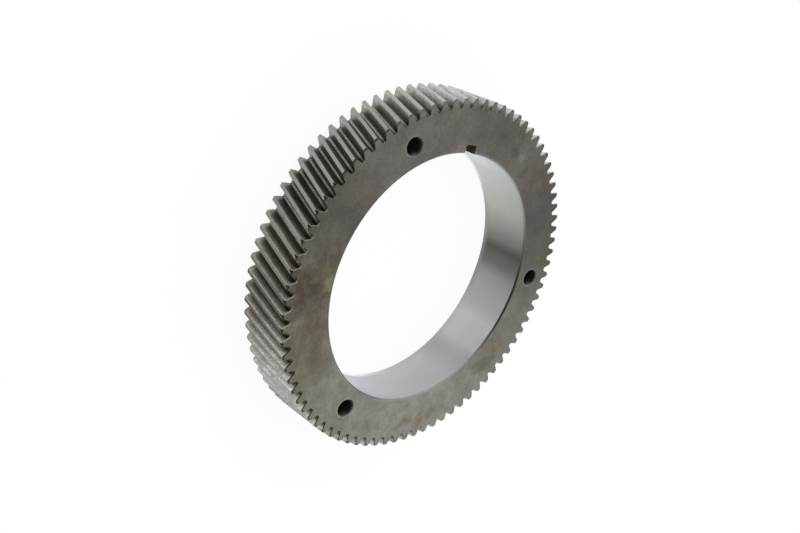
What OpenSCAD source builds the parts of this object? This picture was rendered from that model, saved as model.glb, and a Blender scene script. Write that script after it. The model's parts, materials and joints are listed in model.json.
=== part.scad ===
// Timing gear: a helical toothed ring in one piece, with a wide bore that is pressed on to a shaft's
// collar, three through holes in its wall and a key notch in the bore.
// It lies on its back face. The bore's axis is Z and the key notch points along +X.

/* [Teeth] */
// Number of teeth
teeth = 82; // [78:1:90]
// Normal module, the tooth size measured square to the tooth
normal_module = 2.5; // [2.4:0.05:2.8]
// Pressure angle, measured square to the tooth
pressure_angle = 20; // [17.5:0.5:22.5]
// Helix angle at the pitch circle; the teeth rise to the right, as on a right-hand screw
helix_angle = 20; // [8:1:28]
// Height of a tooth above the pitch circle, in modules
addendum_ratio = 1; // [0.9:0.05:1.1]
// Depth of a gap below the pitch circle, in modules
dedendum_ratio = 1.25; // [1.15:0.05:1.35]
// Radius of the fillet at the foot of each flank
root_fillet = 1.05; // [0.5:0.05:1.15]
// Thinning of each tooth for backlash, along the pitch circle
backlash = 0.1; // [0:0.02:0.3]

/* [Tooth ends] */
// Height of the bevel round the end of each tooth, along the axis
end_bevel_height = 0.5; // [0.3:0.1:2]
// How far that bevel sets in the flanks and the root
end_bevel_flank = 0.2; // [0.1:0.05:0.6]
// How far that bevel lowers the tip
end_bevel_tip = 1; // [0.2:0.1:1.5]

/* [Body] */
// Width across the two flat faces
face_width = 36; // [24:0.5:50]
// Diameter of the bore
bore_d = 158.5; // [150:0.5:164]
// Width of the chamfer at both ends of the bore
bore_chamfer = 0.8; // [0.2:0.1:1.5]

/* [Through holes] */
// Number of holes in the wall
hole_count = 3; // [2:1:5]
// How far their circle lies inside the middle of the wall between the bore and the roots of the teeth
hole_inset = 0.1; // [-1:0.1:1]
// Diameter of each hole
hole_d = 10.5; // [8:0.25:12]
// Width of the chamfer at both mouths of each hole
hole_chamfer = 0.4; // [0.2:0.1:1.5]
// Angle from the key notch to the first hole
first_hole_angle = 30; // [25:1:90]

/* [Key notch] */
// Width of the notch
notch_w = 8.4; // [5:0.1:14]
// Depth of the notch beyond the bore
notch_depth = 5.1; // [2:0.1:6]
// Radius of its two inner corners
notch_corner_r = 1.2; // [0.3:0.1:2]
// Angle from the notch to the middle of the nearest tooth, at half the face width
tooth_lead_angle = -0.3; // [-2:0.1:2]

/* [Hidden] */
$fn = 180;
steel = [0.42, 0.41, 0.38];
// Overrun of every cut past the face that it opens
cut = 1;

// Straight steps in each flank, in each root fillet and along the helix between the end bevels
flank_steps = 2;
fillet_steps = 2;
helix_steps = 3;

degree = 180 / PI;
tooth_pitch_angle = 360 / teeth;
pitch_r = teeth * normal_module / cos(helix_angle) / 2;
tip_r = pitch_r + addendum_ratio * normal_module;
root_r = pitch_r - dedendum_ratio * normal_module;
transverse_angle = atan(tan(pressure_angle) / cos(helix_angle));
base_r = pitch_r * cos(transverse_angle);
bore_r = bore_d / 2;
hole_circle_r = (bore_r + root_r) / 2 - hole_inset;
// Circle between the holes and the roots of the teeth
hub_r = (hole_circle_r + hole_d / 2 + hole_chamfer + root_r) / 2;
// Turn of the teeth for each millimetre along the axis
turn_per_mm = tan(helix_angle) / pitch_r * degree;

function polar(r, a) = [r * cos(a), r * sin(a)];
function involute(a) = tan(a) * degree - a;
// Pressure angle of the involute where it crosses radius r
function angle_at(r) = acos(min(1, base_r / r));
// Half the angle that a tooth fills at radius r
function half_tooth(r) =
    (tooth_pitch_angle / 2 - backlash / pitch_r * degree) / 2
    + involute(transverse_angle) - involute(angle_at(r));

// The root fillet is an arc that touches the root circle and the flank
fillet_r = root_r + root_fillet;
fillet_slope = angle_at(fillet_r);
fillet_a = half_tooth(fillet_r) + root_fillet / cos(fillet_slope) / fillet_r * degree;
flank_r = fillet_r - root_fillet * sin(fillet_slope);

// Points of one flank from root to tip, each a radius and an angle from the middle of the tooth.
// A share s of the end bevel is taken off them.
function half_outline(s) =
    let (inset = s * end_bevel_flank, top_r = tip_r - s * end_bevel_tip)
    concat(
        [for (i = [0 : fillet_steps - 1])
            let (a = 90 - i * (90 - fillet_slope) / fillet_steps,
                 r = fillet_r - root_fillet * sin(a))
            [r - inset, fillet_a - (root_fillet * cos(a) + inset * cos(a)) / r * degree]],
        [for (i = [0 : flank_steps])
            let (r = flank_r + i * (top_r - flank_r) / flank_steps)
            [r, half_tooth(r) - inset / r * degree]]
    );

// Angle of the middle of tooth k at height z
function middle_angle(z, k) =
    tooth_lead_angle + (z - face_width / 2) * turn_per_mm + k * tooth_pitch_angle;

// Outline of the whole toothed ring at height z, counter-clockwise from above
function outline(z, s) =
    let (half = half_outline(s), last = len(half) - 1)
    [for (k = [0 : teeth - 1])
        let (middle = middle_angle(z, k))
        each concat(
            [for (i = [0 : last]) polar(half[i][0], middle - half[i][1])],
            [for (i = [last : -1 : 0]) polar(half[i][0], middle + half[i][1])]
        )];

// The ring before it is bored: helical involute teeth, bevelled round both of their ends.
// Each end face is laid out as spokes from the centre to a hub circle, and from there to the teeth.
module toothed_disc() {
    first = end_bevel_height;
    last = face_width - end_bevel_height;
    levels = concat(
        [[0, outline(0, 1)]],
        [for (j = [0 : helix_steps])
            let (z = first + (last - first) * j / helix_steps) [z, outline(z, 0)]],
        [[face_width, outline(face_width, 1)]]
    );
    n = len(levels[0][1]);
    top = len(levels) - 1;
    per_tooth = n / teeth;
    hub_bottom = n * (top + 1);
    hub_top = hub_bottom + teeth;
    centre_bottom = hub_top + teeth;
    centre_top = centre_bottom + 1;
    points = concat(
        [for (level = levels) for (p = level[1]) [p[0], p[1], level[0]]],
        [for (z = [0, face_width]) for (k = [0 : teeth - 1])
            let (p = polar(hub_r, middle_angle(z, k))) [p[0], p[1], z]],
        [[0, 0, 0], [0, 0, face_width]]
    );
    sides = [for (j = [0 : top - 1]) for (i = [0 : n - 1])
        let (a = j * n + i, b = j * n + (i + 1) % n)
        each [[a, a + n, b + n], [a, b + n, b]]];
    bottom_face = [for (k = [0 : teeth - 1])
        let (hub = hub_bottom + k, next_hub = hub_bottom + (k + 1) % teeth, i = k * per_tooth)
        each concat(
            [for (m = [0 : per_tooth - 1]) [hub, i + m, (i + m + 1) % n]],
            [[hub, (i + per_tooth) % n, next_hub], [centre_bottom, hub, next_hub]]
        )];
    top_face = [for (k = [0 : teeth - 1])
        let (hub = hub_top + k, next_hub = hub_top + (k + 1) % teeth, i = k * per_tooth)
        each concat(
            [for (m = [0 : per_tooth - 1]) [hub, top * n + (i + m + 1) % n, top * n + i + m]],
            [[hub, next_hub, top * n + (i + per_tooth) % n], [centre_top, next_hub, hub]]
        )];
    polyhedron(points, concat(sides, bottom_face, top_face), convexity = 10);
}

// A hole of radius r right through the ring, with a chamfer of width c at both mouths
module chamfered_hole(r, c) {
    translate([0, 0, -cut]) cylinder(r = r, h = face_width + 2 * cut);
    translate([0, 0, -cut]) cylinder(r1 = r + c + cut, r2 = r, h = c + cut);
    translate([0, 0, face_width - c]) cylinder(r1 = r, r2 = r + c + cut, h = c + cut);
}

// The holes in the wall, evenly spaced on their circle
module through_holes() {
    for (i = [0 : hole_count - 1])
        rotate(first_hole_angle + i * 360 / hole_count)
            translate([hole_circle_r, 0, 0])
                chamfered_hole(hole_d / 2, hole_chamfer);
}

// The key notch, a slot along the bore with two rounded inner corners
module key_notch() {
    end_x = bore_r + notch_depth;
    corner_x = end_x - notch_corner_r;
    corner_y = notch_w / 2 - notch_corner_r;
    start_x = bore_r / 2;
    translate([0, 0, -cut]) linear_extrude(face_width + 2 * cut) {
        translate([start_x, -notch_w / 2]) square([corner_x - start_x, notch_w]);
        translate([start_x, -corner_y]) square([end_x - start_x, 2 * corner_y]);
        for (side = [-1, 1])
            translate([corner_x, side * corner_y]) circle(notch_corner_r);
    }
}

module timing_gear() {
    color(steel)
    difference() {
        toothed_disc();
        chamfered_hole(bore_r, bore_chamfer);
        through_holes();
        key_notch();
    }
}

timing_gear();
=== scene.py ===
import json
import math

import bpy
import numpy as np
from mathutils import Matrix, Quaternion, Vector
from mathutils.geometry import delaunay_2d_cdt


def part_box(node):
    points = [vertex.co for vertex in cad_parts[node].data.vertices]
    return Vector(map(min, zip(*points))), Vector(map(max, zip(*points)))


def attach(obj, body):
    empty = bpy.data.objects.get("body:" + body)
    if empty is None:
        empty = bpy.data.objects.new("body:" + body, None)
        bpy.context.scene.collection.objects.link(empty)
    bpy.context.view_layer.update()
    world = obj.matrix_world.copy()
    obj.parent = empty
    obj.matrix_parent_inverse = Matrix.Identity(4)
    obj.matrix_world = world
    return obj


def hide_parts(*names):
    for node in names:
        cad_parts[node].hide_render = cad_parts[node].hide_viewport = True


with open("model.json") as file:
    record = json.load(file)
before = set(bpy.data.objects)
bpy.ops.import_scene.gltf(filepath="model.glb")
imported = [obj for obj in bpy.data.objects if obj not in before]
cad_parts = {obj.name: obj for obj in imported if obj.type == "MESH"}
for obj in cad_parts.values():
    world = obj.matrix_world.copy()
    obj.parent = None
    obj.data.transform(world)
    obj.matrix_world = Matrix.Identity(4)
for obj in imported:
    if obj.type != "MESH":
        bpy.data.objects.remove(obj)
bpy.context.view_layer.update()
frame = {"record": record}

# The blank of the gear: one forged steel ring. The four sections after this one cut it, as a hob,
# a grinder, a drill and a lathe cut the real ring, and each adds its own part to the same mesh.
# Every length in this file is in millimetres, and MM turns it to the metres of the frame.
MM = 0.001
low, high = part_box("timing_gear")
width = (high.z - low.z) / MM
tip_r = (high.x - low.x) / 2 / MM
mounts = {mount["name"]: mount for mount in frame["record"]["mounts"]}

vertices = []
faces = []
finishes = []
smooth = []
surfaces = []

# The teeth: 82 involute teeth on a right-hand helix, cut by a hob into the rim of the blank.
# The hob leaves a round fillet at each root. The burrs are filed off the tips and both ends.
TEETH = 82
NORMAL_MODULE = 2.5
HELIX = math.radians(20)
PRESSURE = math.radians(20)
ROOT_DEPTH = 1.25 * NORMAL_MODULE
ROOT_FILLET = 1.05
BACKLASH = 0.1
FIRST_TOOTH = math.radians(-0.3)
TIP_EDGE = 0.18
# The points that break the edge of a tip. Each is below the top and in from the flank by these
# shares of TIP_EDGE.
TIP_POINTS = [(0.29, 0.1), (0, 0.5), (0, 2)]
END_HEIGHT = 0.5
END_TIP = 1.0
END_FLANK = 0.2
FILLET_STEPS = 6
FLANK_STEPS = 8
HELIX_STEPS = 10

pitch_r = TEETH * NORMAL_MODULE / math.cos(HELIX) / 2
root_r = pitch_r - ROOT_DEPTH
tooth_height = tip_r - root_r
tooth_pitch = 2 * math.pi / TEETH
transverse = math.atan(math.tan(PRESSURE) / math.cos(HELIX))
base_r = pitch_r * math.cos(transverse)
twist = math.tan(HELIX) / pitch_r


def slope_at(radius):
    """Pressure angle of the involute where it crosses a radius."""
    return math.acos(min(1, base_r / radius))


def half_tooth(radius):
    """Half the angle that a tooth fills at a radius."""
    def involute(angle):
        return math.tan(angle) - angle
    at_pitch = (tooth_pitch / 2 - BACKLASH / pitch_r) / 2
    return at_pitch + involute(transverse) - involute(slope_at(radius))


def half_outline(share):
    """Radius and angle of each point from the middle of a gap to the top of a tooth.

    A share of the end bevel is taken off them.
    """
    inset = share * END_FLANK
    top = tip_r - share * END_TIP
    centre_r = root_r + ROOT_FILLET
    slope = slope_at(centre_r)
    centre_a = half_tooth(centre_r) + ROOT_FILLET / math.cos(slope) / centre_r
    points = [(root_r - inset, tooth_pitch / 2)]
    for i in range(FILLET_STEPS):
        turn = math.pi / 2 - i * (math.pi / 2 - slope) / FILLET_STEPS
        radius = centre_r - ROOT_FILLET * math.sin(turn)
        reach = (ROOT_FILLET + inset) * math.cos(turn)
        points.append((radius - inset, centre_a - reach / radius))
    foot = centre_r - ROOT_FILLET * math.sin(slope)
    for i in range(FLANK_STEPS + 1):
        radius = foot + i * (top - TIP_EDGE - foot) / FLANK_STEPS
        points.append((radius, half_tooth(radius) - inset / radius))
    corner = half_tooth(top) - inset / top
    for below, inward in TIP_POINTS:
        points.append((top - below * TIP_EDGE, corner - inward * TIP_EDGE / top))
    points.append((top, 0))
    return points


def toothed_ring(z, share):
    """The outline of the whole ring of teeth at height z, counter-clockwise from above."""
    half = half_outline(share)
    points = []
    for k in range(TEETH):
        middle = FIRST_TOOTH + (z - width / 2) * twist + k * tooth_pitch
        sides = [(r, middle - a) for r, a in half] + [(r, middle + a) for r, a in half[-2:0:-1]]
        points.extend((r * math.cos(a), r * math.sin(a)) for r, a in sides)
    return points


def linear(hex_colour):
    """An sRGB hex colour as linear values with an alpha of one."""
    parts = [int(hex_colour[i:i + 2], 16) / 255 for i in (1, 3, 5)]
    return [p / 12.92 if p <= 0.04045 else ((p + 0.055) / 1.055) ** 2.4 for p in parts] + [1]


def add_node(tree, kind, inputs, **settings):
    """Adds a node with its settings. Each input is a value, or the socket that it is linked to."""
    node = tree.nodes.new(kind)
    for name, value in settings.items():
        setattr(node, name, value)
    for name, value in inputs.items():
        if isinstance(value, bpy.types.NodeSocket):
            tree.links.new(value, node.inputs[name])
        else:
            node.inputs[name].default_value = value
    return node


def new_surface(name):
    """Adds an empty material to the ring. Returns its number, its tree and its place socket."""
    material = bpy.data.materials.new(name)
    material.use_nodes = True
    material.node_tree.nodes.clear()
    surfaces.append(material)
    place = add_node(material.node_tree, "ShaderNodeTexCoord", {}).outputs["Object"]
    return len(surfaces) - 1, material.node_tree, place


def close_surface(tree, colour, roughness, metallic=1.0, **more):
    """Ends a material in one shader with the given colour, roughness and metallic share."""
    shader = add_node(tree, "ShaderNodeBsdfPrincipled", {
        "Base Color": colour, "Roughness": roughness, "Metallic": metallic, **more})
    add_node(tree, "ShaderNodeOutputMaterial", {"Surface": shader.outputs["BSDF"]})


def colour_along(tree, value, stops):
    """Colour that follows a value. Each stop is a value and a colour, from the lowest value up."""
    lowest, highest = stops[0][0], stops[-1][0]
    share = add_node(tree, "ShaderNodeMapRange", {"Value": value, "From Min": lowest,
                                                  "From Max": highest})
    ramp = add_node(tree, "ShaderNodeValToRGB", {"Fac": share.outputs["Result"]})
    first, last = ramp.color_ramp.elements
    first.color, last.color = linear(stops[0][1]), linear(stops[-1][1])
    for at, colour in stops[1:-1]:
        position = (at - lowest) / (highest - lowest)
        ramp.color_ramp.elements.new(position).color = linear(colour)
    return ramp.outputs["Color"]


def colour_round(tree, place, stops):
    """Colour by the angle round the bore. Each stop is -180 to 180 degrees and a colour.

    Greys serve as factors and shares: they say how strong something is at each angle.
    """
    split = add_node(tree, "ShaderNodeSeparateXYZ", {"Vector": place})
    angle = add_node(tree, "ShaderNodeMath", {0: split.outputs["Y"], 1: split.outputs["X"]},
                     operation="ARCTAN2")
    return colour_along(tree, angle.outputs["Value"],
                        [(math.radians(degrees), colour) for degrees, colour in stops])


def from_axis(tree, place):
    """How far a point is from the axis of the bore."""
    flat = add_node(tree, "ShaderNodeVectorMath", {0: place, 1: (1, 1, 0)}, operation="MULTIPLY")
    return add_node(tree, "ShaderNodeVectorMath", {0: flat.outputs["Vector"]},
                    operation="LENGTH").outputs["Value"]


def by_radius(tree, place, start, end, last=1.0, curve="LINEAR"):
    """A value that goes from zero to last between two radii."""
    return add_node(tree, "ShaderNodeMapRange", {
        "Value": from_axis(tree, place), "From Min": start * MM, "From Max": end * MM,
        "To Max": last}, interpolation_type=curve).outputs["Result"]


def by_height(tree, place, start, end, first=0.0, last=1.0, curve="LINEAR"):
    """A value that goes from first to last between two heights over the back face."""
    split = add_node(tree, "ShaderNodeSeparateXYZ", {"Vector": place})
    return add_node(tree, "ShaderNodeMapRange", {
        "Value": split.outputs["Z"], "From Min": start * MM, "From Max": end * MM,
        "To Min": first, "To Max": last}, interpolation_type=curve).outputs["Result"]


def uneven(tree, place, size, weakest, strongest, start=0.3, end=0.7, detail=3, roughness=0.5):
    """A noise with marks of one size. Its values from start to end give weakest to strongest."""
    noise = add_node(tree, "ShaderNodeTexNoise", {
        "Vector": place, "Scale": 1 / (size * MM), "Detail": detail, "Roughness": roughness})
    return add_node(tree, "ShaderNodeMapRange", {
        "Value": noise.outputs["Fac"], "From Min": start, "From Max": end, "To Min": weakest,
        "To Max": strongest}).outputs["Result"]


def fine_marks(tree, place, size, strength):
    """The normal of a surface with marks of one size, a tenth of a millimetre deep at most."""
    noise = add_node(tree, "ShaderNodeTexNoise", {"Vector": place, "Scale": 1 / (size * MM),
                                                  "Detail": 2})
    return add_node(tree, "ShaderNodeBump", {
        "Height": noise.outputs["Fac"], "Strength": strength,
        "Distance": 0.1 * MM}).outputs["Normal"]


# Hobbed steel, the flanks: satin under a film of oil, dark at the fillets, partly from painted
# shade, and lighter towards the worn tips, with a painted reflection as a bright line along the
# bottom of each gap. Its marks follow the helix. Their tone round the ring is painted light. Part
# of the way round, painted light lightens the gaps, a painted highlight brightens the front ends,
# and painted shade darkens the front mouth of each gap. Faint olive patches of oil lie all round.
HOBBED, tree, place = new_surface("hobbed_steel")
# Painted shade deep in the gaps and a painted reflection along their bottom, lighter towards the
# worn tips.
RISE_WEAR_AND_SHADE_TONES = [(0, "#a8a49d"), (0.012, "#a09c95"), (0.035, "#857f76"), (0.2, "#8d887f"),
              (0.55, "#a5a098"), (1, "#c4c1bb")]
# Painted light: how bright the flanks are round the ring.
FLANK_LIGHT_TONES = [(-180, "#e0e0e0"), (-70, "#f0f0f0"), (-40, "#ffffff"), (-20, "#f2f2f2"),
               (-2, "#f6f6f6"), (6, "#ffffff"), (26, "#ffffff"), (36, "#eeeeee"), (50, "#d6d6d6"),
               (62, "#c8c8c8"), (70, "#cccccc"), (77, "#ececec"), (84, "#f0f0f0"),
               (100, "#e2e2e2"), (108, "#ececec"), (114, "#ffffff"), (124, "#ffffff"),
               (132, "#f4f4f4"), (141, "#d6d6d6"), (150, "#d8d8d8"), (180, "#e0e0e0")]
# Painted light that lightens the gaps part of the way round.
GAP_LIGHT_STRETCH = [(-180, "#909090"), (-90, "#b0b0b0"), (-60, "#e8e8e8"), (-20, "#e8e8e8"), (-2, "#e0e0e0"),
         (6, "#c8c8c8"), (20, "#707070"), (36, "#000000"), (108, "#000000"), (124, "#909090"),
         (180, "#909090")]
# A painted highlight on the front ends of the teeth, part of the way round.
HIGHLIGHT_STRETCH = [(-180, "#707070"), (-168, "#404040"), (-150, "#000000"), (116, "#000000"),
                  (130, "#a0a0a0"), (146, "#e0e0e0"), (170, "#d0d0d0"), (180, "#707070")]
HIGHLIGHT_LENGTH = 10.0
HIGHLIGHT_STOP = 1.0
# Painted shade in the front mouth of each gap, weaker part of the way round.
MOUTH_SHADE_STRETCH = [(-180, "#ffffff"), (-150, "#909090"), (-60, "#a0a0a0"), (-16, "#b8b8b8"),
                (-4, "#ffffff"), (180, "#ffffff")]
MOUTH_SHADE_LENGTH = 8.0
# The painted shade in the mouths starts this far up the tooth, as a share of its height, and is
# full this far up.
MOUTH_SHADE_TOP = 0.7
MOUTH_SHADE_FULL = 0.15
# One pixel of the picture is about 0.6 mm wide, so the finest real marks are drawn coarser.
OIL_PATCH = 8.0
FLANK_GRAIN = 1.25
STREAK_WIDTH = 0.77
STREAK_LENGTH = 19.0
HOB_MARK = 0.67

# The painted highlight of the front ends.
bright = add_node(tree, "ShaderNodeMath", {
    0: by_height(tree, place, width - HIGHLIGHT_LENGTH, width - HIGHLIGHT_STOP, curve="SMOOTHSTEP"),
    1: colour_round(tree, place, HIGHLIGHT_STRETCH)}, operation="MULTIPLY")
# The painted shade in the front mouths of the gaps.
mouth_shade = add_node(tree, "ShaderNodeMath", {
    0: by_height(tree, place, width - MOUTH_SHADE_LENGTH, width, curve="SMOOTHSTEP"),
    1: by_radius(tree, place, root_r + MOUTH_SHADE_TOP * tooth_height, root_r + MOUTH_SHADE_FULL * tooth_height,
                 last=0.9, curve="SMOOTHSTEP")}, operation="MULTIPLY")
mouth_shade = add_node(tree, "ShaderNodeMath", {
    0: mouth_shade.outputs["Value"], 1: colour_round(tree, place, MOUTH_SHADE_STRETCH)}, operation="MULTIPLY")
colour = colour_along(tree, by_radius(tree, place, root_r, tip_r), RISE_WEAR_AND_SHADE_TONES)
for share, layer in ((colour_round(tree, place, GAP_LIGHT_STRETCH), "#dcdddf"),
                     (bright.outputs["Value"], "#f0ebe4"), (mouth_shade.outputs["Value"], "#22201c"),
                     (uneven(tree, place, OIL_PATCH, 0, 0.4, start=0.5, end=0.66), "#77745a")):
    colour = add_node(tree, "ShaderNodeMixRGB", {"Fac": share, "Color1": colour,
                                                 "Color2": linear(layer)}).outputs["Color"]

# The streaks lie in the helix: the angle is unwound by the height before the noise is stretched.
split = add_node(tree, "ShaderNodeSeparateXYZ", {"Vector": place})
angle = add_node(tree, "ShaderNodeMath", {0: split.outputs["Y"], 1: split.outputs["X"]},
                 operation="ARCTAN2")
unwound = add_node(tree, "ShaderNodeMath", {
    0: split.outputs["Z"], 1: -twist / MM, 2: angle.outputs["Value"]}, operation="MULTIPLY_ADD")
on_tooth = add_node(tree, "ShaderNodeCombineXYZ", {
    "X": unwound.outputs["Value"], "Y": from_axis(tree, place), "Z": split.outputs["Z"]})
stretched = add_node(tree, "ShaderNodeVectorMath", {
    0: on_tooth.outputs["Vector"], 1: (tip_r * MM, 1, STREAK_WIDTH / STREAK_LENGTH)},
    operation="MULTIPLY")
streaks = uneven(tree, stretched.outputs["Vector"], STREAK_WIDTH, 0.82, 1.12,
                 start=0.35, end=0.65, detail=2)
worn = uneven(tree, place, FLANK_GRAIN, 0.66, 1.18, start=0.37, end=0.63, detail=4, roughness=0.7)
for factor in (colour_round(tree, place, FLANK_LIGHT_TONES), worn, streaks):
    colour = add_node(tree, "ShaderNodeMixRGB", {"Fac": 1.0, "Color1": colour, "Color2": factor},
                      blend_type="MULTIPLY").outputs["Color"]
close_surface(tree, colour, roughness=0.4, Normal=fine_marks(tree, place, HOB_MARK, strength=0.1))

# Rubbed steel, the tips: worn bright and smooth by the mating gear. Their tone round the ring is
# painted light, with a darker stretch of painted shade.
RUBBED, tree, place = new_surface("rubbed_steel")
# Painted light and shade on the tips, round the ring.
TIP_LIGHT_TONES = [(-180, "#a8a6a3"), (-60, "#b4b3b1"), (-20, "#d6d7d8"), (-8, "#cdced0"),
             (4, "#cacacb"), (10, "#bcbcbd"), (18, "#b3b2b1"), (27, "#afadab"), (36, "#9d9c98"),
             (52, "#a3a19e"), (64, "#9a9894"), (79, "#908d88"), (88, "#827f79"), (95, "#5f5d59"),
             (104, "#656360"), (114, "#8b8883"), (123, "#a19f9b"), (131, "#9d9b97"),
             (141, "#8f8d89"), (150, "#92908c"), (180, "#a6a49f")]
TIP_GRAIN = 2.0
colour = add_node(tree, "ShaderNodeVectorMath", {
    0: colour_round(tree, place, TIP_LIGHT_TONES),
    "Scale": uneven(tree, place, TIP_GRAIN, 0.85, 1.0)}, operation="SCALE")
close_surface(tree, colour.outputs["Vector"], roughness=0.35)

# Filed steel, the small bevel at both ends of each tooth: rough and dull, with painted shade that
# makes it dark where it cuts off the tip. Its tone round the ring is painted light.
FILED, tree, place = new_surface("filed_steel")
# Painted shade where the bevel cuts off the tip, round the ring.
END_SHADE_TONES = [(-180, "#5c5a54"), (-110, "#4c4a45"), (-60, "#45423e"), (-20, "#524f4b"),
             (4, "#6a6762"), (20, "#6a6762"), (42, "#3a3732"), (118, "#3a3732"), (140, "#4c4a45"),
             (180, "#5c5a54")]
# Painted light on the bevel near the roots, round the ring.
ROOT_END_LIGHT_TONES = [(-180, "#8f8b84"), (-70, "#8f8b84"), (-40, "#77746e"), (-20, "#5c5954"),
              (12, "#5e5b56"), (24, "#6b6862"), (38, "#7c7973"), (48, "#7c7973"), (56, "#5a5752"),
              (68, "#8f8b84"), (180, "#8f8b84")]
# The tone of the tips starts this far in from them, and is full this far in.
FILED_START = 1.3
FILED_FULL = 0.9
colour = add_node(tree, "ShaderNodeMixRGB", {
    "Fac": by_radius(tree, place, tip_r - FILED_START, tip_r - FILED_FULL),
    "Color1": colour_round(tree, place, ROOT_END_LIGHT_TONES),
    "Color2": colour_round(tree, place, END_SHADE_TONES)})
close_surface(tree, colour.outputs["Color"], roughness=0.6)

# Shade-marked steel: painted shade, dark and half matt, at the front end of some teeth, as a dot on
# one corner of the tip, or as a line along the edge of one flank. The line is browner and paler at
# the end of its stretch. DOTTED and LINED are those stretches, from one angle to another.
SHADE_MARKED, tree, place = new_surface("shade_marked_steel")
SHADE_MARK_TONES = [(-180, "#66645b"), (-160, "#77756c"), (20, "#282620"), (120, "#282620"),
             (150, "#35332c"), (166, "#4c4a42"), (180, "#66645b")]
SHADE_MARK_GRAIN = 1.7
SHADE_MARK_DEPTH = 1.2
DOTTED = (59, 109)
LINED = (109, 200)
colour = add_node(tree, "ShaderNodeVectorMath", {
    0: colour_round(tree, place, SHADE_MARK_TONES),
    "Scale": uneven(tree, place, SHADE_MARK_GRAIN, 0.6, 1.1, start=0.35, end=0.65, detail=2)},
    operation="SCALE")
close_surface(tree, colour.outputs["Vector"], roughness=0.5)


def add_ring(points, z):
    """Adds a closed ring of points at height z and returns their numbers."""
    start = len(vertices)
    vertices.extend((x, y, z) for x, y in points)
    return list(range(start, len(vertices)))


def add_wall(lower, upper, outward, finish, flat=()):
    """Joins two rings of the same length by quads. finish is one number, or one for each quad."""
    count = len(lower)
    for i in range(count):
        j = (i + 1) % count
        quad = (lower[i], lower[j], upper[j], upper[i])
        faces.append(quad if outward else quad[::-1])
        finishes.append(finish if isinstance(finish, int) else finish[i])
        smooth.append(i not in flat)


# The rim is joined from rings of points, from the back to the front. The first and the last wall
# are the filed bevels, and the wall before the last is as high as the dots of painted shade.
heights = [END_HEIGHT + (width - 2 * END_HEIGHT) * i / HELIX_STEPS for i in range(HELIX_STEPS + 1)]
heights.insert(-1, width - END_HEIGHT - SHADE_MARK_DEPTH)
levels = [(0, 1)] + [(z, 0) for z in heights] + [(width, 1)]
rim = [add_ring(toothed_ring(z, share), z) for z, share in levels]
front_wall = len(rim) - 2
side_steps = len(half_outline(0)) - 1 - len(TIP_POINTS)
plain_tooth = [HOBBED] * side_steps + [RUBBED] * 2 * len(TIP_POINTS) + [HOBBED] * side_steps
filed_tooth = [FILED] * len(plain_tooth)
# The painted shade at the front ends of the teeth: dots on the tips and lines along one flank.
shade_marks = [(DOTTED, slice(side_steps - 1, side_steps + len(TIP_POINTS)), 2),
             (LINED, slice(0, side_steps + 1), 1)]
for level, (lower, upper) in enumerate(zip(rim, rim[1:])):
    rim_finish = []
    for k in range(TEETH):
        tooth = list(filed_tooth if level in (0, front_wall) else plain_tooth)
        azimuth = math.degrees(FIRST_TOOTH + width / 2 * twist + k * tooth_pitch)
        for (start, end), quads, walls in shade_marks:
            if level > front_wall - walls and start < azimuth < end:
                tooth[quads] = [SHADE_MARKED] * len(tooth[quads])
        rim_finish += tooth
    add_wall(lower, upper, True, rim_finish)

# The bore: ground to size for a press fit, with a turned chamfer at both ends and one notch cut
# into it from end to end. A strip at the back isn't ground.
BORE_CHAMFER = 0.8
NOTCH_HALF = 4.2
NOTCH_DEPTH = 5.1
NOTCH_ROUND = 1.2
BORE_STEPS = 360
CORNER_STEPS = 6

bore_r = mounts["bore"]["dims"]["r_mm"]

# Ground steel: bright satin and faintly clouded. Its tones round the bore are painted reflection,
# darker on one side, and painted shade dims it towards the front. The strip at the back has painted
# reflection tones of its own.
GROUND, tree, place = new_surface("ground_steel")
# Painted reflection round the bore.
BORE_REFLECTION_TONES = [(-180, "#bebfc4"), (-160, "#b9b9bc"), (-148, "#b6b5b9"), (-139, "#a8a8ab"),
              (-135, "#abaaad"), (-131, "#b8b8bb"), (-117, "#bdbfbb"), (-113, "#b1b1b0"),
              (-110, "#abaaa9"), (-100, "#a2a0a1"), (-94, "#939191"), (-89, "#706f6d"),
              (-83.5, "#62625e"), (-80.8, "#555651"), (-79, "#666762"), (-76, "#7c7d78"),
              (-70, "#93948f"), (-64, "#a6a7a2"), (-58, "#b4b5af"), (-46, "#bbbdb9"),
              (-34, "#c1c6c1"), (-28, "#ccd1d1"), (-20, "#d8dbdc"), (-12, "#cfd1d4"),
              (0, "#cfd1d5"), (40, "#bcbdc1"), (180, "#bebfc4")]
# Painted reflection round the strip at the back.
STRIP_REFLECTION_TONES = [(-180, "#dcdee2"), (-174, "#cfd0d4"), (-165, "#bdbdc0"), (-150, "#b2b1b5"),
               (-139, "#a9a9ab"), (-120, "#b8b9b8"), (-110, "#aaa9a8"), (-100, "#989698"),
               (-90, "#898889"), (-83, "#7f7e80"), (-74, "#8e8e8e"), (-65, "#9d9d9b"),
               (-58, "#a9aaa6"), (-50, "#c2c4c1"), (-42, "#dadddb"), (-34, "#f0f2f3"),
               (-26, "#fdfdfe"), (0, "#fdfdfe"), (40, "#bcbdc1"), (160, "#dcdde1"),
               (172, "#ffffff"), (180, "#dcdee2")]
# The tone of the strip starts at this height over the back face, and is full at this one.
STRIP_START = 4.55
STRIP_FULL = 2.45
SHADE_START = 7.2
FRONT_SHADE = 0.86
BORE_CLOUD = 16.7
colour = add_node(tree, "ShaderNodeMixRGB", {
    "Fac": by_height(tree, place, STRIP_START, STRIP_FULL),
    "Color1": colour_round(tree, place, BORE_REFLECTION_TONES),
    "Color2": colour_round(tree, place, STRIP_REFLECTION_TONES)}).outputs["Color"]
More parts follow.
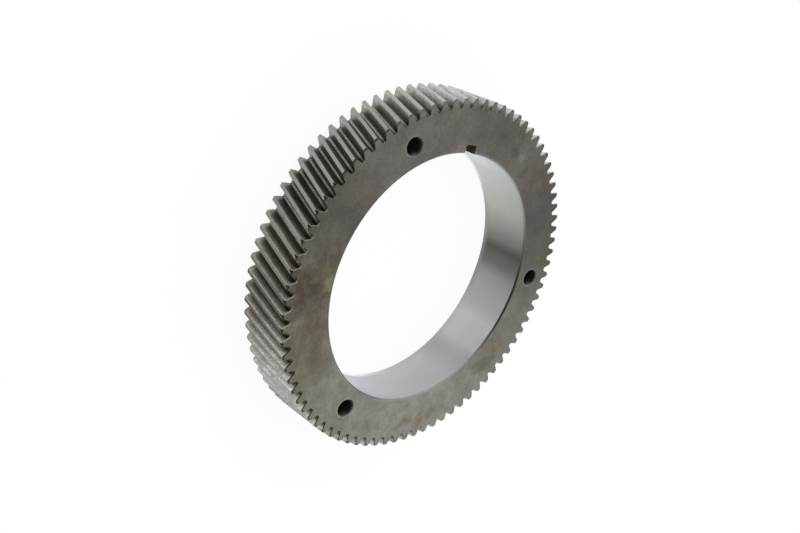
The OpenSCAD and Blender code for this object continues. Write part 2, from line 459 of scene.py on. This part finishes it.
# Painted shade dims the bore towards the front, and faint clouds vary it.
for factor in (by_height(tree, place, SHADE_START, width, first=1.0, last=FRONT_SHADE),
               uneven(tree, place, BORE_CLOUD, 0.94, 1.0)):
    colour = add_node(tree, "ShaderNodeVectorMath", {0: colour, "Scale": factor},
                      operation="SCALE").outputs["Vector"]
close_surface(tree, colour, roughness=0.3)

# Turned steel, the chamfers of the bore: its turned lines are too fine to show, and give a satin
# grey. Its tone round the bore is painted reflection, almost black on one side.
TURNED, tree, place = new_surface("turned_steel")
CHAMFER_REFLECTION_TONES = [(-180, "#908f89"), (-164, "#8d8c86"), (-152, "#74736c"), (-138, "#6b6a63"),
                 (-124, "#4a4843"), (-110, "#2a2824"), (-90, "#282622"), (-82, "#4c4a45"),
                 (-72, "#5c5a55"), (-60, "#85837e"), (-48, "#989a95"), (-30, "#969996"),
                 (-12, "#8d908e"), (0, "#8d8c87"), (6, "#9e9c97"), (18, "#a9a7a2"),
                 (30, "#969590"), (42, "#7d7a74"), (60, "#625f59"), (78, "#65625c"),
                 (87, "#5b5852"), (102, "#625f59"), (120, "#65625c"), (138, "#7b7973"),
                 (156, "#76746d"), (168, "#8a8883"), (180, "#908f89")]
close_surface(tree, colour_round(tree, place, CHAMFER_REFLECTION_TONES), roughness=0.45)

# Slotted steel, the notch: left rough by the cutter. Painted shade makes it dull and almost black,
# more so towards its bottom, so little of it looks like metal.
SLOTTED, tree, place = new_surface("slotted_steel")
DARK_START = 1.0
NOTCH_GRAIN = 2.5
NOTCH_UNEVEN = 2.0
grain = add_node(tree, "ShaderNodeTexNoise", {"Vector": place, "Scale": 1 / (NOTCH_GRAIN * MM),
                                              "Detail": 3})
ragged = add_node(tree, "ShaderNodeMath", {
    0: grain.outputs["Fac"], 1: NOTCH_UNEVEN * MM, 2: from_axis(tree, place)},
    operation="MULTIPLY_ADD")
# Painted shade, darker towards the bottom of the notch.
deep = add_node(tree, "ShaderNodeMapRange", {
    "Value": ragged.outputs["Value"], "From Min": (bore_r + DARK_START) * MM,
    "From Max": (bore_r + NOTCH_DEPTH) * MM})
colour = add_node(tree, "ShaderNodeMixRGB", {
    "Fac": deep.outputs["Result"], "Color1": linear("#35342c"), "Color2": linear("#0b0806")})
close_surface(tree, colour.outputs["Color"], roughness=0.6, metallic=0.3)


def bore_ring(radius):
    """The outline of the bore at one radius, counter-clockwise, with its notch at the end."""
    edge = math.asin(NOTCH_HALF / radius)
    angles = np.linspace(edge, 2 * math.pi - edge, BORE_STEPS + 1)
    points = [(radius * math.cos(a), radius * math.sin(a)) for a in angles]
    corner_x = bore_r + NOTCH_DEPTH - NOTCH_ROUND
    for side, start in ((-1, -math.pi / 2), (1, 0)):
        corner_y = side * (NOTCH_HALF - NOTCH_ROUND)
        for a in np.linspace(start, start + math.pi / 2, CORNER_STEPS + 1):
            points.append((corner_x + NOTCH_ROUND * math.cos(a),
                           corner_y + NOTCH_ROUND * math.sin(a)))
    return points


# The flat walls of the notch, its two sides and its bottom, are kept out of the smooth shading.
bore_levels = [(0, bore_r + BORE_CHAMFER), (BORE_CHAMFER, bore_r),
               (width - BORE_CHAMFER, bore_r), (width, bore_r + BORE_CHAMFER)]
bore = [add_ring(bore_ring(radius), z) for z, radius in bore_levels]
notch_steps = len(bore[0]) - BORE_STEPS
flat_steps = (BORE_STEPS, BORE_STEPS + CORNER_STEPS + 1, len(bore[0]) - 1)
for level, finish in enumerate((TURNED, GROUND, TURNED)):
    add_wall(bore[level], bore[level + 1], False,
             [finish] * BORE_STEPS + [SLOTTED] * notch_steps, flat_steps)

# Three holes drilled right through the wall between the bore and the teeth, with a narrow chamfer
# at both ends.
HOLE_CHAMFER = 0.4
FIRST_HOLE = math.radians(30)
HOLE_STEPS = 72

hole_circle_r = mounts["holes"]["dims"]["pcd_mm"] / 2
hole_count = mounts["holes"]["dims"]["count"]
hole_r = mounts["holes"]["dims"]["hole_r_mm"]
hole_angles = [FIRST_HOLE + i * 2 * math.pi / hole_count for i in range(hole_count)]
hole_spots = [(hole_circle_r * math.cos(a), hole_circle_r * math.sin(a)) for a in hole_angles]

# Drilled steel: painted shade makes it black and dull, so little of it looks like metal. Painted
# light makes one side of each hole grey near its front mouth. The angle below is the way that this
# side faces.
DRILLED, tree, place = new_surface("drilled_steel")
LIT_SIDE = math.radians(-10)
LIT_HOLES = [(-180, "#bfbfbf"), (0, "#ffffff"), (60, "#ffffff"), (120, "#bfbfbf"),
               (180, "#bfbfbf")]
LIT_DEPTH = 4.2
HOLE_GRAIN = 2.5
grain = add_node(tree, "ShaderNodeTexNoise", {"Vector": place, "Scale": 1 / (HOLE_GRAIN * MM),
                                              "Detail": 3})
# Painted shade: the black inside each hole.
colour = add_node(tree, "ShaderNodeMixRGB", {
    "Fac": grain.outputs["Fac"], "Color1": linear("#080808"), "Color2": linear("#151412")})
normal = add_node(tree, "ShaderNodeTexCoord", {}).outputs["Normal"]
# Painted light on the side of each hole that faces the light, near its front mouth.
facing = add_node(tree, "ShaderNodeVectorMath", {
    0: normal, 1: (math.cos(LIT_SIDE), math.sin(LIT_SIDE), 0)}, operation="DOT_PRODUCT")
lit_share = add_node(tree, "ShaderNodeMapRange", {
    "Value": facing.outputs["Value"], "From Min": 0.35, "From Max": 0.85},
    interpolation_type="SMOOTHSTEP").outputs["Result"]
for factor in (colour_round(tree, place, LIT_HOLES),
               by_height(tree, place, width - LIT_DEPTH, width)):
    lit_share = add_node(tree, "ShaderNodeMath", {0: lit_share, 1: factor},
                     operation="MULTIPLY").outputs["Value"]
colour = add_node(tree, "ShaderNodeMixRGB", {
    "Fac": lit_share, "Color1": colour.outputs["Color"], "Color2": linear("#7b7973")})
close_surface(tree, colour.outputs["Color"], roughness=0.6, metallic=0.3)

hole_levels = [(0, hole_r + HOLE_CHAMFER), (HOLE_CHAMFER, hole_r),
               (width - HOLE_CHAMFER, hole_r), (width, hole_r + HOLE_CHAMFER)]
hole_rings = []
for x, y in hole_spots:
    rings = []
    for z, radius in hole_levels:
        rings.append(add_ring([(x + radius * math.cos(a), y + radius * math.sin(a))
                               for a in np.linspace(0, 2 * math.pi, HOLE_STEPS, endpoint=False)],
                              z))
    for lower, upper in zip(rings, rings[1:]):
        add_wall(lower, upper, False, DRILLED)
    hole_rings.append(rings)

# The two flat faces: turned on a lathe and hardened. The front one has stains of rust and old oil,
# and its tone round the ring is partly painted light. Each hole's mouth has a rubbed ring and a
# dark crescent on one side, and some tooth ends are rubbed lighter.
# Partly stains and partly painted light, the fall of light across the face, round the ring.
FACE_LIGHT_AND_STAIN_TONES = [(-180, "#63645e"), (-165, "#64645e"), (-150, "#60605b"), (-142, "#61615c"),
              (-130, "#565650"), (-118, "#53534e"), (-104, "#575650"), (-92, "#4f4f49"),
              (-80, "#454540"), (-60, "#444340"), (-46, "#4d4a46"), (-30, "#5a5752"),
              (-18, "#504e49"), (0, "#55534f"), (8, "#5c5954"), (22, "#575450"), (42, "#585551"),
              (54, "#4f4b46"), (66, "#474540"), (84, "#433f3a"), (100, "#49453c"),
              (118, "#534f45"), (127, "#56534a"), (131, "#5d5d55"), (150, "#5f6058"),
              (166, "#62635c"), (180, "#63645e")]
# Painted reflection along the edge of the bore, almost black on one side.
BORE_EDGE_REFLECTION_TONES = [(-180, "#6b6b65"), (-160, "#676660"), (-140, "#5b5a55"), (-124, "#454440"),
              (-112, "#2c2b28"), (-92, "#2a2926"), (-84, "#3d3c38"), (-74, "#4a4844"),
              (-60, "#5a5854"), (0, "#5d5b56"), (30, "#595651"), (66, "#474540"), (100, "#4c4b46"),
              (118, "#53524c"), (126, "#5f5e56"), (138, "#6b6a62"), (150, "#63635b"),
              (180, "#6b6b65")]
EDGE_RING = 1.7
# Each stain: x, y, radius, colour and strength.
STAINS = [(-96, -9, 7, "#5a5047", 0.75), (-97, -23, 8, "#5a4f45", 0.75),
          (-95, -16, 4, "#6e6b5b", 0.6), (-92, 2, 6, "#53524b", 0.5),
          (-93, -32, 6, "#50504a", 0.5), (-64, -66, 8, "#4c4b41", 0.6),
          (-62, -73, 8, "#474439", 0.6), (-51, -81, 8, "#564b42", 0.75),
          (-57, -78, 6, "#443d32", 0.7), (-53, -71, 5, "#5f5d53", 0.5),
          (12, -99, 8, "#504b38", 0.6), (67, -72, 11, "#4c4438", 0.7),
          (76, -62, 7, "#504737", 0.55), (93, -44, 7, "#54503f", 0.55),
          (83, -40, 5, "#474541", 0.6), (80, -48, 5, "#65625d", 0.6), (86, -20, 6, "#56523f", 0.5),
          (82, -40, 5, "#44423d", 0.7), (72, -55, 6, "#45433e", 0.8), (64, -72, 5, "#5f564d", 0.4),
          (91, -41, 4, "#615f51", 0.5), (11, -100, 4, "#46402f", 0.5),
          (-26, -97, 7, "#5e5e58", 0.6), (22, 96, 13, "#525246", 0.5),
          (13, 102, 6, "#4f5150", 0.5), (3, 104, 9, "#4f4439", 0.6), (5, 98, 8, "#434137", 0.7),
          (-10, 98, 9, "#48403a", 0.6), (-4, 102, 7, "#4d4137", 0.7), (-4, 95, 8, "#3d3a31", 0.75),
          (1, 83, 6, "#65644a", 0.7), (7, 86, 6, "#4f4b34", 0.65), (13, 89, 4, "#53463f", 0.5),
          (-16, 90, 7, "#3f3c34", 0.5), (-28, 98, 10, "#58564a", 0.5),
          (-26, 87, 7, "#463c37", 0.65), (-18, 78, 8, "#5a5c5a", 0.6),
          (-35, 72, 9, "#5f5f56", 0.6), (-47, 65, 7, "#62625a", 0.6),
          (-76, 54, 9, "#585a50", 0.45), (-50, 88, 7, "#575648", 0.5),
          (-95, 30, 8, "#5b605b", 0.4), (0, 99, 10, "#312d24", 0.62),
          (-9, 100, 8, "#312c25", 0.58), (-6, 91, 6, "#35322a", 0.5),
          (-26, 104, 3, "#6b675b", 0.3), (-24, 101, 3, "#6b675b", 0.3),
          (-22, 97, 3, "#6b675b", 0.3)]
# A stain is at full strength over this share of its radius, and fades from there.
STAIN_CORE = 0.3
RUBBED_RING = 1.4
# A dark crescent on one side of each hole's mouth: which way it is shifted, how far, and how far in
# and out it reaches.
DARK_SIDE = math.radians(-85)
DARK_SHIFT = 1.1
DARK_INNER = 0.5
DARK_OUTER = 0.1
RUBBED_ENDS = [(-180, "#000000"), (-70, "#000000"), (-44, "#383838"), (-20, "#808080"),
               (4, "#a0a0a0"), (16, "#909090"), (30, "#686868"), (44, "#606060"), (52, "#000000"),
               (180, "#000000")]
RUBBED_START = 0.4
BLOT_STRETCH = [(-180, "#8c8c8c"), (-120, "#8c8c8c"), (-104, "#404040"), (60, "#404040"),
                (80, "#989898"), (108, "#989898"), (130, "#787878"), (180, "#8c8c8c")]


def add_spot(tree, tone, place, centre, outer, inner, colour, strength, curve="SMOOTHSTEP"):
    """Lays a round spot on the front face. It is full up to the inner radius, gone at the outer."""
    far = add_node(tree, "ShaderNodeVectorMath", {
        0: place, 1: (centre[0] * MM, centre[1] * MM, width * MM)}, operation="DISTANCE")
    share = add_node(tree, "ShaderNodeMapRange", {
        "Value": far.outputs["Value"], "From Min": outer * MM, "From Max": inner * MM,
        "To Max": strength}, interpolation_type=curve)
    return add_node(tree, "ShaderNodeMixRGB", {
        "Fac": share.outputs["Result"], "Color1": tone,
        "Color2": linear(colour)}).outputs["Color"]


# Faced steel: dark, matt and faintly clouded from the hardening, with brown and olive blots and
# paler specks. DRIFT_SIZE and DRIFT_REACH bend the edges of the stains, so that none looks round.
# The real grain is finer than a pixel, and is drawn coarser to show.
FACED, tree, place = new_surface("faced_steel")
DRIFT_SIZE = 6.25
DRIFT_REACH = 14.0
BLOT_SIZE = 5.25
CLOUD_SIZE = 16.7
SPECK_SIZE = 2.4
FACE_GRAIN = 0.55
noise = add_node(tree, "ShaderNodeTexNoise", {"Vector": place, "Scale": 1 / (DRIFT_SIZE * MM),
                                              "Detail": 3})
centred = add_node(tree, "ShaderNodeVectorMath", {0: noise.outputs["Color"], 1: (0.5, 0.5, 0.5)},
                   operation="SUBTRACT")
drift = add_node(tree, "ShaderNodeVectorMath", {
    0: centred.outputs["Vector"], "Scale": DRIFT_REACH * MM}, operation="SCALE")
drifted = add_node(tree, "ShaderNodeVectorMath", {0: place, 1: drift.outputs["Vector"]},
                   operation="ADD").outputs["Vector"]
tone = colour_round(tree, drifted, FACE_LIGHT_AND_STAIN_TONES)
for x, y, size, stain, strength in STAINS:
    tone = add_spot(tree, tone, drifted, (x, y), size, STAIN_CORE * size, stain, strength)
mouth_r = hole_r + HOLE_CHAMFER
for x, y in hole_spots:
    tone = add_spot(tree, tone, place, (x, y), mouth_r + RUBBED_RING, mouth_r, "#8d8c88", 0.28)
    # A dark crescent at one side of the mouth.
    dark_spot = (x + DARK_SHIFT * math.cos(DARK_SIDE), y + DARK_SHIFT * math.sin(DARK_SIDE))
    tone = add_spot(tree, tone, place, dark_spot, mouth_r + DARK_OUTER, mouth_r - DARK_INNER,
                    "#161512", 0.9, curve="LINEAR")

# A narrow ring of painted reflection along the edge of the bore.
at_bore = by_radius(tree, place, bore_r + BORE_CHAMFER + EDGE_RING, bore_r + BORE_CHAMFER,
                    curve="SMOOTHSTEP")
rubbed = add_node(tree, "ShaderNodeMath", {
    0: by_radius(tree, place, root_r + RUBBED_START, tip_r - END_TIP),
    1: colour_round(tree, place, RUBBED_ENDS)}, operation="MULTIPLY")
layers = [(at_bore, colour_round(tree, place, BORE_EDGE_REFLECTION_TONES)),
          (rubbed.outputs["Value"], linear("#8f8c87"))]
noise = add_node(tree, "ShaderNodeTexNoise", {"Vector": place, "Scale": 1 / (BLOT_SIZE * MM),
                                              "Detail": 4, "Roughness": 0.6})
blots = add_node(tree, "ShaderNodeSeparateColor", {"Color": noise.outputs["Color"]})
blotted = colour_round(tree, place, BLOT_STRETCH)
for channel, blot in (("Red", "#43372d"), ("Green", "#5d5c48")):
    share = add_node(tree, "ShaderNodeMapRange", {
        "Value": blots.outputs[channel], "From Min": 0.48, "From Max": 0.66})
    share = add_node(tree, "ShaderNodeMath", {0: share.outputs["Result"], 1: blotted},
                     operation="MULTIPLY")
    layers.append((share.outputs["Value"], linear(blot)))
for share, layer in layers:
    tone = add_node(tree, "ShaderNodeMixRGB", {"Fac": share, "Color1": tone,
                                               "Color2": layer}).outputs["Color"]
clouds = uneven(tree, place, CLOUD_SIZE, 0.82, 1.18, detail=5, roughness=0.6)
specks = uneven(tree, place, SPECK_SIZE, 0.88, 1.1, start=0.36, end=0.64, detail=4, roughness=0.7)
for factor in (clouds, specks):
    tone = add_node(tree, "ShaderNodeVectorMath", {0: tone, "Scale": factor},
                    operation="SCALE").outputs["Vector"]
close_surface(tree, tone, roughness=0.55,
              Normal=fine_marks(tree, place, FACE_GRAIN, strength=0.15))

# Points closer than this, in mm, count as one where a face is cut into triangles.
SAME_POINT = 1e-6


def add_face(level, upward):
    """Closes one end of the ring with a flat face between the teeth, the bore and the holes."""
    loops = [rim[level], bore[level]] + [rings[level] for rings in hole_rings]
    numbers = [n for loop in loops for n in loop]
    starts = np.cumsum([0] + [len(loop) for loop in loops])
    outlines = [list(range(a, b)) for a, b in zip(starts, starts[1:])]
    points = [Vector(vertices[n][:2]) for n in numbers]
    cut = delaunay_2d_cdt(points, [], outlines, 1, SAME_POINT)
    triangles, first_points, first_outlines = cut[2], cut[3], cut[5]
    for triangle, inside in zip(triangles, first_outlines):
        if inside == [0]:
            corners = [numbers[first_points[v][0]] for v in triangle]
            faces.append(corners if upward else corners[::-1])
            finishes.append(FACED)
            smooth.append(False)


add_face(0, False)
add_face(-1, True)

# The whole gear: the walls and the faces are one closed mesh, shaded sharp at every real edge.
SHARP_EDGE = math.radians(30)

mesh = bpy.data.meshes.new("gear_ring")
mesh.from_pydata([(x * MM, y * MM, z * MM) for x, y, z in vertices], [], faces)
for surface in surfaces:
    mesh.materials.append(surface)
mesh.polygons.foreach_set("material_index", finishes)
mesh.polygons.foreach_set("use_smooth", smooth)
mesh.set_sharp_from_angle(angle=SHARP_EDGE)
gear = bpy.data.objects.new("gear_ring", mesh)
bpy.context.scene.collection.objects.link(gear)
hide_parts("timing_gear")
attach(gear, "root")

# The stage: a plain white floor that the gear lies on, a white tent round it and two soft lamps.
# Rays from the camera and from metal see floor and tent as plain white. The floor keeps part of
# the gear's shadow.
FLOOR_HALF = 4000
FLOOR_GAP = 0.2
SHADOW_SHARE = 0.09
TENT_LIGHT = 0.7
LAMP_HEIGHT = math.radians(40)
LAMP_DISTANCE = 1400
LAMP_SIZE = 900
LAMP_POWER = 7

floor_mesh = bpy.data.meshes.new("floor")
corners = [(x * FLOOR_HALF * MM, y * FLOOR_HALF * MM, -FLOOR_GAP * MM)
           for x, y in ((-1, -1), (1, -1), (1, 1), (-1, 1))]
floor_mesh.from_pydata(corners, [], [(0, 1, 2, 3)])
floor = bpy.data.objects.new("floor", floor_mesh)
bpy.context.scene.collection.objects.link(floor)


def seen_directly(tree):
    """One where the ray comes from the camera, from metal or through glass, and zero elsewhere."""
    path = add_node(tree, "ShaderNodeLightPath", {})
    first = add_node(tree, "ShaderNodeMath", {
        0: path.outputs["Is Camera Ray"], 1: path.outputs["Is Glossy Ray"]}, operation="MAXIMUM")
    both = add_node(tree, "ShaderNodeMath", {
        0: first.outputs["Value"], 1: path.outputs["Is Transmission Ray"]}, operation="MAXIMUM")
    return both.outputs["Value"]


# Matt white paper, lit in part by the lamps and in part by itself where it is seen directly.
paper = bpy.data.materials.new("white_paper")
paper.use_nodes = True
tree = paper.node_tree
tree.nodes.clear()
matt = add_node(tree, "ShaderNodeBsdfDiffuse", {"Color": linear("#fafafa")})
glow = add_node(tree, "ShaderNodeEmission", {"Color": linear("#ffffff"), "Strength": 1.0})
seen = add_node(tree, "ShaderNodeMath", {0: seen_directly(tree), 1: 1 - SHADOW_SHARE},
                operation="MULTIPLY")
mixed = add_node(tree, "ShaderNodeMixShader", {
    0: seen.outputs["Value"], 1: matt.outputs["BSDF"], 2: glow.outputs["Emission"]})
add_node(tree, "ShaderNodeOutputMaterial", {"Surface": mixed.outputs["Shader"]})
floor_mesh.materials.append(paper)

# The tent: white cloth that is lit evenly, and lights the gear from all sides.
world = bpy.data.worlds.new("white_tent")
bpy.context.scene.world = world
world.use_nodes = True
tree = world.node_tree
tree.nodes.clear()
strength = add_node(tree, "ShaderNodeMapRange", {
    "Value": seen_directly(tree), "To Min": TENT_LIGHT, "To Max": 1.0})
tent = add_node(tree, "ShaderNodeBackground", {
    "Color": linear("#ffffff"), "Strength": strength.outputs["Result"]})
add_node(tree, "ShaderNodeOutputWorld", {"Surface": tent.outputs["Background"]})

# The lamps: two square soft boxes that face the gear, each named with its angle round it.
for name, degrees in (("key_lamp", -125), ("side_lamp", 15)):
    lamp = bpy.data.lights.new(name, "AREA")
    lamp.energy = LAMP_POWER
    lamp.size = LAMP_SIZE * MM
    box = bpy.data.objects.new(name, lamp)
    azimuth = math.radians(degrees)
    away = Vector((math.cos(azimuth) * math.cos(LAMP_HEIGHT),
                   math.sin(azimuth) * math.cos(LAMP_HEIGHT), math.sin(LAMP_HEIGHT)))
    box.location = LAMP_DISTANCE * MM * away
    box.rotation_euler = box.location.to_track_quat("Z", "Y").to_euler()
    bpy.context.scene.collection.objects.link(box)

# The camera: it looks down on the gear from one side, and leans, so that the ring stands on its
# edge in the picture.
CAMERA_SPOT = Vector((165.27, 440.84, 416.01)) * MM
CAMERA_AIM = Vector((1.99, 12.65, 17.74)) * MM
CAMERA_ROLL = math.radians(119.18)
CAMERA_LENS = 45.3
SENSOR_WIDTH = 36
NEAREST = 50

camera = bpy.data.objects.new("camera", bpy.data.cameras.new("camera"))
camera.data.lens = CAMERA_LENS
camera.data.sensor_width = SENSOR_WIDTH
camera.data.clip_start = NEAREST * MM
camera.location = CAMERA_SPOT
aimed = (CAMERA_AIM - CAMERA_SPOT).to_track_quat("-Z", "Y")
camera.rotation_euler = (aimed @ Quaternion((0, 0, 1), CAMERA_ROLL)).to_euler()
bpy.context.scene.collection.objects.link(camera)
bpy.context.scene.camera = camera
bpy.context.scene.view_settings.view_transform = "Standard"
